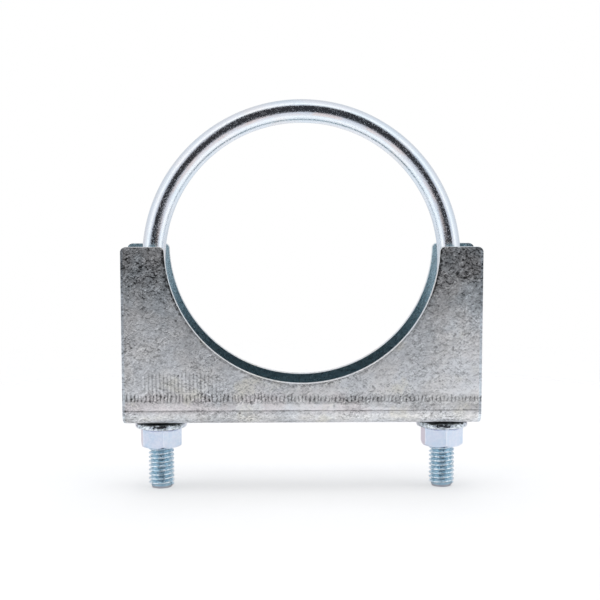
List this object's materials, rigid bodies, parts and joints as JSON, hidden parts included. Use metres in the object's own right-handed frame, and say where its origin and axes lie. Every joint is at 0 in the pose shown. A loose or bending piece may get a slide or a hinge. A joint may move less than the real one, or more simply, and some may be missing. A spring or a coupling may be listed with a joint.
{
  "type": "exhaust u-bolt clamp",
  "caption": "U-bolt saddle clamp for round pipe: a bent threaded rod, a pressed channel saddle with a scooped seat, and hex flange nuts that draw the saddle up.",
  "frame": {"origin": "centre of the 100 mm pipe space inside the loop, on the rod's mid-plane", "axes": "+Z from the threaded legs towards the top of the loop, +Y along the pipe, +X from the left leg to the right leg"},
  "size_m": [0.13, 0.026, 0.1431],
  "materials": {
    "zinc_rod": "bright zinc plate, smooth drawn rod",
    "galvanised_sheet": "galvanised sheet, mottled spangle, satin",
    "zinc_nut": "bright zinc plate"
  },
  "bodies": {
    "u_bolt": {"u_bolt": "zinc_rod"},
    "saddle": {"saddle": "galvanised_sheet"},
    "left_nut": {"left_flange_nut": "zinc_nut"},
    "right_nut": {"right_flange_nut": "zinc_nut"}
  },
  "joints": [
    {"name": "saddle_slide", "type": "slide", "parent": "u_bolt", "child": "saddle", "axis": [0, 0, 1], "range_m": [-0.0135, 0.0105]},
    {"name": "left_nut_turn", "type": "hinge", "parent": "saddle", "child": "left_nut", "pos_m": [-0.0523, 0, -0.0593], "axis": [0, 0, 1], "range_deg": [-3120, 2440]},
    {"name": "right_nut_turn", "type": "hinge", "parent": "saddle", "child": "right_nut", "pos_m": [0.0523, 0, -0.0593], "axis": [0, 0, 1], "range_deg": [-3120, 2440]}
  ],
  "couplings": [
    {"joint": "left_nut_turn", "follows": "saddle_slide", "rad_per_m": 3957.9},
    {"joint": "right_nut_turn", "follows": "saddle_slide", "rad_per_m": 3957.9}
  ]
}
